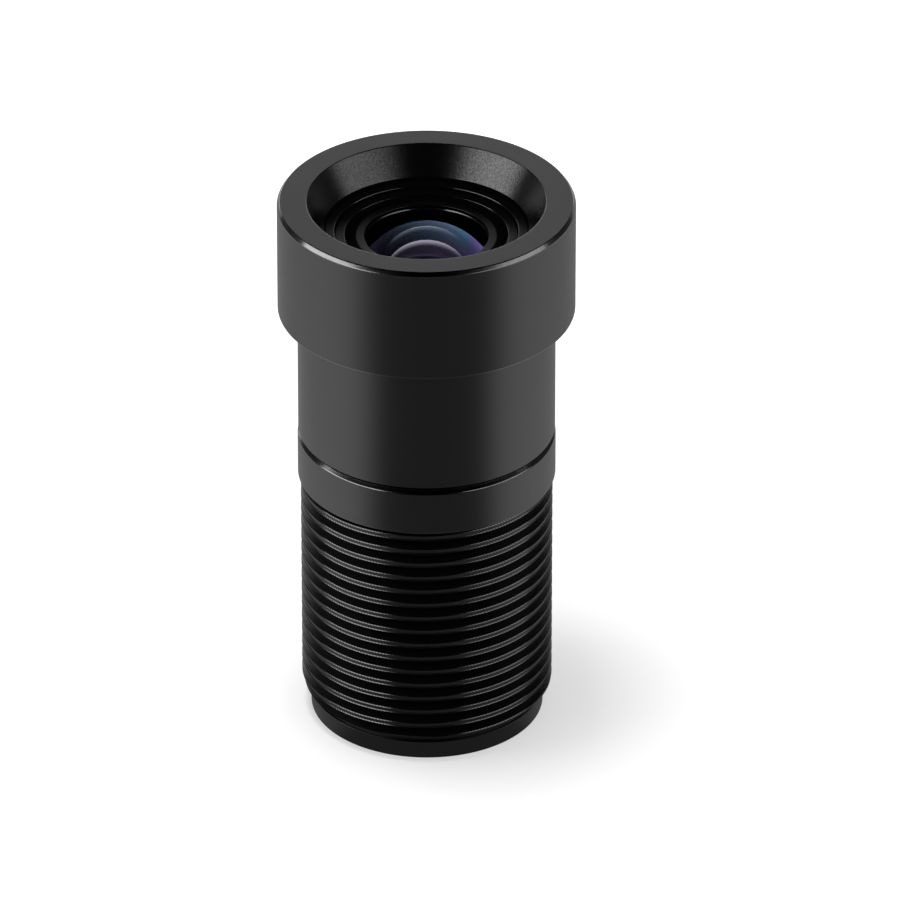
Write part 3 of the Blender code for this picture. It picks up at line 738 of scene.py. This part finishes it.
def cut_thread(bm, s):
    """The outside thread: one pitch carried up a right-hand helix and trimmed square at both ends.

    The crest is rolled, with two lips and a shallow groove between them.
    """
    crest = s.thread_radius
    root = crest - s.thread_depth
    groove = crest - s.lip_fall
    half_crest = s.crest_width / 2
    half_base = (s.thread_pitch - s.root_width) / 2
    half_pitch = s.thread_pitch / 2
    steep = s.thread_depth / (half_base - half_crest)
    start = s.thread_bottom + s.thread_phase - 2 * s.thread_pitch
    turns = math.ceil((s.band_bottom - start) / s.thread_pitch) + 1
    lip_run = s.lip_fall / steep
    lower_lip = start - half_crest + s.lip_rise
    upper_lip = start + half_crest - s.lip_ease - s.lip_width
    section = [
        (root, start - half_pitch),
        (root, start - half_base),
        (groove, start - half_crest - lip_run),
        (crest, lower_lip),
        (crest, lower_lip + s.lip_width),
        (groove, lower_lip + s.lip_width + s.lip_ease + lip_run),
        (groove, upper_lip - s.lip_rise),
        (crest, upper_lip),
        (crest, upper_lip + s.lip_width),
        (groove, upper_lip + s.lip_width + s.lip_ease + lip_run),
        (root, start + half_base),
        (root, start + half_pitch),
    ]
    wire_profile(bm, section, closed=False)
    turn(bm, s.turn_steps, s.thread_pitch)
    one_turn = bpy.data.meshes.new("one_turn")
    bm.to_mesh(one_turn)
    for _ in range(turns - 1):
        bmesh.ops.translate(bm, vec=(0.0, 0.0, s.thread_pitch), verts=bm.verts[:])
        bm.from_mesh(one_turn)
    bpy.data.meshes.remove(one_turn)
    bmesh.ops.remove_doubles(bm, verts=bm.verts[:], dist=WELD)
    chamfer_top = s.thread_bottom + s.thread_chamfer
    cuts = [(chamfer_top, False, False), (s.thread_bottom, True, False), (s.band_bottom, False, True)]
    for height, clear_below, clear_above in cuts:
        bmesh.ops.bisect_plane(
            bm, geom=bm.verts[:] + bm.edges[:] + bm.faces[:], dist=WELD, plane_co=(0.0, 0.0, height),
            plane_no=(0.0, 0.0, 1.0), clear_inner=clear_below, clear_outer=clear_above,
        )
    for vertex in bm.verts:
        x, y, z = vertex.co
        limit = crest - max(0.0, chamfer_top - z)
        radius = math.hypot(x, y)
        if radius > limit:
            vertex.co = (x * limit / radius, y * limit / radius, z)


def close_between(bm, height):
    """Fills the flat ring between the two open loops that lie at this height."""
    rims = [e for e in bm.edges if e.is_boundary and all(abs(v.co.z - height) < WELD for v in e.verts)]
    bmesh.ops.triangle_fill(bm, edges=rims, use_beauty=True, use_dissolve=False)


class BOARDLENS_OT_rear_barrel(bpy.types.Operator):
    """Turn the band and the foot, and cut the outside thread"""

    bl_idname = "boardlens.rear_barrel"
    bl_label = "Rear barrel"

    def execute(self, context):
        s, f = settings(context)
        edge, fine = s.edge_ease, s.fine_ease
        thread = bmesh.new()
        cut_thread(thread, s)
        thread_mesh = mesh_of(thread, "cut_thread")
        points = [
            (BAND_RADIUS - edge, s.band_bottom),
            (BAND_RADIUS, s.band_bottom + edge, fine),
            (BAND_RADIUS, BAND_TOP - s.band_chamfer, edge),
            (BAND_RADIUS - s.band_chamfer, BAND_TOP, fine),
            (COUNTERBORE_RADIUS, BAND_TOP, fine),
            (COUNTERBORE_RADIUS, COUNTERBORE_FLOOR),
            (REAR_CELL_RADIUS, COUNTERBORE_FLOOR, fine),
            (REAR_CELL_RADIUS, REAR_CELL_FLOOR),
            (REAR_EXIT_RADIUS, REAR_CELL_FLOOR, fine),
            (REAR_EXIT_RADIUS, FILTER_SEAT, fine),
            (FILTER_BORE_RADIUS, FILTER_SEAT),
            (FILTER_BORE_RADIUS, REAR_RING_TOP, fine),
            (REAR_RING_BORE_RADIUS, REAR_RING_TOP),
            (REAR_RING_BORE_RADIUS, 0.0, edge),
            (s.foot_radius, 0.0, edge),
            (s.foot_radius, s.foot_height, fine),
            (s.relief_radius, s.foot_height, fine),
            (s.relief_radius, s.thread_bottom),
        ]
        bm = bmesh.new()
        wire_profile(bm, points, closed=False)
        turn(bm, s.turn_steps)
        bm.from_mesh(thread_mesh)
        bpy.data.meshes.remove(thread_mesh)
        close_between(bm, s.band_bottom)
        close_between(bm, s.thread_bottom)
        bmesh.ops.remove_doubles(bm, verts=bm.verts[:], dist=WELD)
        skins = (
            anodised_material("anodised_barrel_rear", f.anodised, f.anodised_roughness, BARREL_RELIEF),
            anodised_material(
                "anodised_thread", f.anodised, f.turned_roughness, THREAD_RELIEF, f.thread_gloss
            ),
            edge_material("thread_edge", f.crest_metal, f.edge_roughness, LIP_MARKS, chatter=True),
            anodised_material("chattered_land", f.anodised, f.land_roughness, LAND_RELIEF, chatter=0.25),
            edge_material("band_edge", f.edge_metal, f.edge_roughness),
        )
        groove = s.thread_radius - s.lip_fall

        def on_thread(face, radius, height):
            return s.thread_bottom < height < s.band_bottom and radius > s.relief_radius + WELD

        def on_crest(face, radius, height):
            return on_thread(face, radius, height) and radius > groove + LIP_SHARE * s.lip_fall

        def on_land(face, radius, height):
            near = abs(radius - groove) < LIP_SHARE * s.lip_fall
            return on_thread(face, radius, height) and near and abs(face.normal.z) < RISER_TILT

        def on_band_edge(face, radius, height):
            on_chamfer = height > BAND_TOP - s.band_chamfer - fine and face.normal.z < EDGE_TILT
            on_underside = s.band_bottom < height < s.band_bottom + edge + fine and is_narrow(face)
            return radius > BAND_RADIUS - s.band_chamfer - edge and (on_chamfer or on_underside)

        give_finishes(bm, (on_thread, on_crest, on_land, on_band_edge))
        finished_piece(bm, "threaded_rear_barrel", skins, "rear_barrel", THREAD_CREASE)
        return {"FINISHED"}


class BOARDLENS_OT_rings(bpy.types.Operator):
    """Turn the two retaining rings, and mill the rear one's spanner slots"""

    bl_idname = "boardlens.rings"
    bl_label = "Retaining rings"

    def execute(self, context):
        s, f = settings(context)
        fine = s.fine_ease
        skin = anodised_material("anodised_ring", f.anodised, f.turned_roughness, RING_RELIEF)
        edge_skin = edge_material("ring_edge", f.mouth_edge, f.edge_roughness)
        # The ring's bore reflects nothing: painted shade in the recess behind the glass
        bore_skin = anodised_material("ring_bore_painted_shade", f.anodised, f.turned_roughness, WALL_RELIEF, f.painted_shade_gloss)
        wide_hole = s.ring_hole_radius + s.ring_step_width
        step_top = FRONT_RING_TOP - s.ring_step_drop
        front = [
            (s.ring_hole_radius, step_top - s.ring_step_height, fine),
            (wide_hole, step_top, fine),
            (wide_hole, FRONT_RING_TOP, fine),
            (s.ring_hole_radius + s.ring_face_width, FRONT_RING_TOP, fine),
            (FRONT_RING_RADIUS, FRONT_RING_TOP - s.ring_chamfer_height, fine),
            (FRONT_RING_RADIUS, FRONT_RING_BOTTOM, fine),
            (s.ring_hole_radius, FRONT_RING_BOTTOM, 0.5 * fine),
        ]

        def on_edge(face, radius, height):
            return step_top - s.ring_step_height < height < step_top and radius < wide_hole

        def in_bore(face, radius, height):
            return radius < wide_hole + WELD and abs(face.normal.z) < WALL_TILT

        turned_piece(
            "turned_front_ring", front, (skin, edge_skin, bore_skin), "front_retaining_ring",
            s.turn_steps, finishes=(on_edge, in_bore),
        )

        rear = [
            (s.rear_ring_hole_radius, REAR_RING_TOP, fine),
            (REAR_RING_RADIUS, REAR_RING_TOP, fine),
            (REAR_RING_RADIUS, REAR_RING_BOTTOM, 2 * fine),
            (s.rear_ring_hole_radius, REAR_RING_BOTTOM, 2 * fine),
        ]
        ring = turned_piece(
            "slotted_rear_ring", rear, (skin,), "rear_retaining_ring", s.turn_steps
        )
        bm = bmesh.new()
        bmesh.ops.create_cube(bm, size=1.0)
        span = 2 * (REAR_RING_RADIUS + s.slot_width)
        bmesh.ops.scale(bm, vec=(span, s.slot_width, 2 * s.slot_depth), verts=bm.verts[:])
        bmesh.ops.translate(bm, vec=(0.0, 0.0, REAR_RING_BOTTOM), verts=bm.verts[:])
        cutter = place("slot_cutter", mesh_of(bm, "slot_cutter"))
        mill = ring.modifiers.new("Slots", "BOOLEAN")
        mill.operation = "DIFFERENCE"
        mill.solver = "EXACT"
        mill.object = cutter
        milled = ring.evaluated_get(context.evaluated_depsgraph_get())
        ring.data = bpy.data.meshes.new_from_object(milled)
        ring.modifiers.clear()
        bpy.data.objects.remove(cutter)
        return {"FINISHED"}


class BOARDLENS_OT_glass(bpy.types.Operator):
    """Polish the seven glass elements and the plane filter behind them"""

    bl_idname = "boardlens.glass"
    bl_label = "Glass"

    def execute(self, context):
        s, f = settings(context)
        coating = (f.coating_facing, f.coating_middle, f.coating_grazing)
        front = glass_material("front_glass", *FRONT_GLASS, coating, f.rim_sheen_painted_reflection)
        inner = glass_material("inner_glass", *INNER_GLASS, coating)
        ground = matte_material("ground_rim", f.ground_rim)
        rear_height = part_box("front_lens")[0].z

        def on_ground_rim(face, radius, height):
            on_side = radius > FRONT_GLASS_RADIUS - GROUND_BORDER and height < FRONT_LENS_TOP
            return on_side or abs(height - rear_height) < WELD

        turned_piece(
            "front_dome", lens_points("front_lens", DOME_POINTS), (front, ground), "front_lens",
            s.turn_steps, finishes=(on_ground_rim,),
        )
        for node in LENS_FORMS:
            if node != "front_lens":
                turned_piece("polished_" + node, lens_points(node), (inner,), node)

        low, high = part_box("ir_cut_filter")
        points = [
            (0.0, high.z), (high.x, high.z, FILTER_GROUND), (high.x, low.z, FILTER_GROUND), (0.0, low.z)
        ]
        glass = glass_material("filter_glass", f.filter_tint, FILTER_INDEX, FILTER_COATING)
        turned_piece("plane_filter", points, (glass,), "ir_cut_filter")
        return {"FINISHED"}


def baffled_section(hole, outer, bottom, top, fine):
    """A spacer's section, its hole cut with a fine thread against stray light."""
    count = max(1, int((top - bottom) / BAFFLE_PITCH) - 1)
    margin = (top - bottom - count * BAFFLE_PITCH) / 2
    wall = [(hole, bottom)]
    for step in range(count):
        base = bottom + margin + step * BAFFLE_PITCH
        wall += [(hole, base), (hole + BAFFLE_DEPTH, base + BAFFLE_PITCH / 2)]
    wall += [(hole, bottom + margin + count * BAFFLE_PITCH), (hole, top)]
    return [(outer, top, fine), (outer, bottom, fine)] + wall


class BOARDLENS_OT_spacers(bpy.types.Operator):
    """Turn the blackened spacers and stops, and stamp the shim between the barrels"""

    bl_idname = "boardlens.spacers"
    bl_label = "Spacers, stops and shim"

    def execute(self, context):
        s, f = settings(context)
        fine = s.fine_ease
        black = matte_material("spacer_black", f.spacer_black)
        for node, hole in SPACER_HOLES.items():
            low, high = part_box(node)
            section = baffled_section(hole * MM, high.x, low.z, high.z, fine)
            turned_piece("baffled_" + node, section, (black,), node)
        low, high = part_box("tube_spacer")
        taper_top = low.z + TUBE_FOOT_HEIGHT
        section = baffled_section(TUBE_HOLE_RADIUS, high.x, taper_top, high.z, fine)
        section[1:2] = [(high.x, low.z, fine), (TUBE_FOOT_RADIUS, low.z, fine)]
        turned_piece("baffled_tube_spacer", section, (black,), "tube_spacer")
        for node, hole in STOP_HOLES.items():
            low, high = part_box(node)
            hole *= MM
            disc = [(high.x, high.z), (high.x, low.z), (hole + STOP_BEVEL, low.z), (hole, high.z)]
            turned_piece("blackened_" + node, disc, (black,), node)

        low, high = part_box("joint_shim")
        side = [(high.x, high.z, SHIM_EASE), (high.x, low.z, SHIM_EASE)]
        points = [*side, (COUNTERBORE_RADIUS, low.z), (COUNTERBORE_RADIUS, high.z)]
        brass = metal_material("shim_brass", f.brass, 0.45)
        turned_piece("stamped_shim", points, (brass,), "joint_shim", SHIM_STEPS)
        return {"FINISHED"}


def softbox(name, azimuth, elevation, distance, size, radiance, gloss):
    """An area light of this radiance, aimed at the lens, for gloss and glass or for all the rest."""
    across, tilt = math.radians(azimuth), math.radians(elevation)
    aim = Vector((0.0, 0.0, LIGHT_AIM))
    towards = Vector((math.sin(across) * math.cos(tilt), -math.cos(across) * math.cos(tilt), math.sin(tilt)))
    light = bpy.data.lights.new(name, "AREA")
    light.shape = "RECTANGLE"
    light.size, light.size_y = size
    light.energy = radiance * math.pi * size[0] * size[1]
    lamp = place(name, light)
    lamp.location = aim + towards * distance
    lamp.rotation_euler = (-towards).to_track_quat("-Z", "Y").to_euler()
    lamp.visible_camera = False
    lamp.visible_diffuse = not gloss
    lamp.visible_glossy = gloss
    lamp.visible_transmission = gloss


def sideways(tree, x, y):
    """How far out a point or a direction lies, and its cosines from the dark front and from the right."""
    distance = from_axis(tree, x, y)
    forward = total(tree, product(tree, x, math.sin(FRONT_TURN)), product(tree, y, -math.cos(FRONT_TURN)))
    return distance, math_node(tree, "DIVIDE", forward, distance), math_node(tree, "DIVIDE", x, distance)


def ray_kinds(tree):
    """Whether a ray comes from the camera, and whether gloss or glass has sent it."""
    path = tree.nodes.new("ShaderNodeLightPath").outputs
    is_mirrored = math_node(tree, "MAXIMUM", path["Is Glossy Ray"], path["Is Transmission Ray"])
    return path["Is Camera Ray"], is_mirrored


def floor_material(studio):
    """White paper that takes the object's shadow; gloss sees it darken in front and behind, with painted
    light falling off to the right and a painted shadow by the foot.
    """
    material = bpy.data.materials.new("studio_floor")
    material.use_nodes = True
    material.cycles.emission_sampling = "NONE"
    tree = material.node_tree
    tree.nodes.clear()
    _, (x, y, _) = object_axes(tree)
    distance, forward, rightward = sideways(tree, x, y)
    is_camera, is_mirrored = ray_kinds(tree)
    seen = product(tree, is_camera, ramp(tree, distance, *PAPER_FADE, studio.paper_glow, 1.0))
    # What gloss sees: dark in front, fading behind, painted light falling off to the right, and a painted
    # shadow round the foot
    mirrored = product(
        tree,
        ramp(tree, forward, *FRONT_EDGE, 0.0, 1.0),
        ramp(tree, forward, *BACK_FADE, 1.0, 0.45),
        ramp(tree, rightward, *PAINTED_RIGHT_FALLOFF, 1.0, 0.85),
        ramp(tree, distance, *PAINTED_SHADOW_FADE, 0.25, 1.0),
    )
    mirrored = math_node(tree, "MAXIMUM", mirrored, studio.front_level)
    paper = add_node(tree, "BsdfDiffuse", {"Color": studio.floor_color})
    glow = add_node(tree, "Emission", {"Strength": seen})
    lit = add_node(tree, "AddShader", {0: paper.outputs[0], 1: glow.outputs[0]})
    reflected = add_node(tree, "Emission", {"Strength": mirrored})
    choice = add_node(tree, "MixShader", {0: is_mirrored, 1: lit.outputs[0], 2: reflected.outputs[0]})
    add_node(tree, "OutputMaterial", {"Surface": choice.outputs[0]})
    return material


def studio_world(studio):
    """White to cameras, uniform to matt surfaces, and to gloss a pale backdrop with a dark front and top."""
    world = bpy.data.worlds.new("studio_world")
    world.use_nodes = True
    world.cycles.sampling_method = "NONE"
    tree = world.node_tree
    direction = tree.nodes.new("ShaderNodeTexCoord").outputs["Generated"]
    x, y, z = add_node(tree, "SeparateXYZ", {0: direction}).outputs
    _, forward, _ = sideways(tree, x, y)
    is_camera, is_mirrored = ray_kinds(tree)
    above = ramp(tree, z, *BACKDROP_FADE, studio.backdrop_level, studio.ceiling_level)
    below = ramp(tree, z, *FOOT_FADE, FOOT_LEVEL, 0.0)
    backdrop = total(
        tree,
        product(tree, above, ramp(tree, forward, *BACKDROP_EDGE, studio.side_share, 1.0)),
        product(tree, below, ramp(tree, forward, *FOOT_EDGE, 0.0, 1.0)),
    )
    mirrored = product(tree, is_mirrored, backdrop, ramp(tree, forward, *FRONT_EDGE, 0.0, 1.0))
    rest = math_node(tree, "SUBTRACT", 1.0, math_node(tree, "MAXIMUM", is_camera, is_mirrored))
    shown = total(tree, is_camera, mirrored, product(tree, rest, studio.world_level))
    feed(tree.nodes["Background"], {"Color": (1.0, 1.0, 1.0), "Strength": shown})
    return world


class BOARDLENS_OT_studio(bpy.types.Operator):
    """Set the floor, softboxes, world and camera"""

    bl_idname = "boardlens.studio"
    bl_label = "Studio"

    def execute(self, context):
        scene = context.scene
        studio = scene.board_lens_studio
        bm = bmesh.new()
        bmesh.ops.create_grid(bm, x_segments=1, y_segments=1, size=FLOOR_SIZE)
        bmesh.ops.translate(bm, vec=(0.0, 0.0, -FLOOR_GAP), verts=bm.verts[:])
        mesh = mesh_of(bm, "floor")
        mesh.materials.append(floor_material(studio))
        place("floor", mesh)

        softbox("left_softbox", *LEFT_SOFTBOX, studio.left_level, True)
        softbox("right_softbox", *RIGHT_SOFTBOX, studio.right_level, True)
        softbox("key_light", *KEY_LIGHT, studio.key_level, False)
        scene.world = studio_world(studio)

        camera_data = bpy.data.cameras.new("studio_camera")
        camera_data.sensor_width = 36.0
        camera_data.lens = CAMERA_LENS
        camera_data.clip_start = 0.01
        camera_data.clip_end = 10.0
        camera = place("studio_camera", camera_data)
        back = Vector((0.0, -math.cos(CAMERA_ELEVATION), math.sin(CAMERA_ELEVATION)))
        up = back.cross((1.0, 0.0, 0.0))
        target = Vector((CAMERA_SHIFT[0], 0.0, CAMERA_AIM)) + up * CAMERA_SHIFT[1]
        camera.location = target + back * CAMERA_DISTANCE
        camera.rotation_euler = (-back).to_track_quat("-Z", "Y").to_euler()
        scene.camera = camera
        scene.view_settings.view_transform = "Standard"
        return {"FINISHED"}


OPERATORS = (
    BOARDLENS_OT_front_barrel,
    BOARDLENS_OT_rear_barrel,
    BOARDLENS_OT_rings,
    BOARDLENS_OT_glass,
    BOARDLENS_OT_spacers,
    BOARDLENS_OT_studio,
)


class BOARDLENS_PT_panel(bpy.types.Panel):
    """Lists the pieces and their settings"""

    bl_idname = "BOARDLENS_PT_panel"
    bl_label = "Board lens"
    bl_space_type = "VIEW_3D"
    bl_region_type = "UI"
    bl_category = "Board lens"

    def draw(self, context):
        layout = self.layout
        for operator in OPERATORS:
            layout.operator(operator.bl_idname)
        for group_name in GROUPS:
            group = getattr(context.scene, group_name)
            box = layout.box()
            for name in group.__annotations__:
                box.prop(group, name)


GROUPS = {
    "board_lens_sizes": BoardLensSizes,
    "board_lens_finishes": BoardLensFinishes,
    "board_lens_studio": BoardLensStudio,
}
CLASSES = (*GROUPS.values(), *OPERATORS, BOARDLENS_PT_panel)


def register():
    for cls in CLASSES:
        bpy.utils.register_class(cls)
    for name, group in GROUPS.items():
        setattr(bpy.types.Scene, name, bpy.props.PointerProperty(type=group))


def unregister():
    for name in GROUPS:
        delattr(bpy.types.Scene, name)
    for cls in reversed(CLASSES):
        bpy.utils.unregister_class(cls)


def main():
    register()
    bpy.ops.boardlens.front_barrel()
    bpy.ops.boardlens.rear_barrel()
    bpy.ops.boardlens.rings()
    bpy.ops.boardlens.glass()
    bpy.ops.boardlens.spacers()
    bpy.ops.boardlens.studio()


if __name__ == "__main__":
    main()
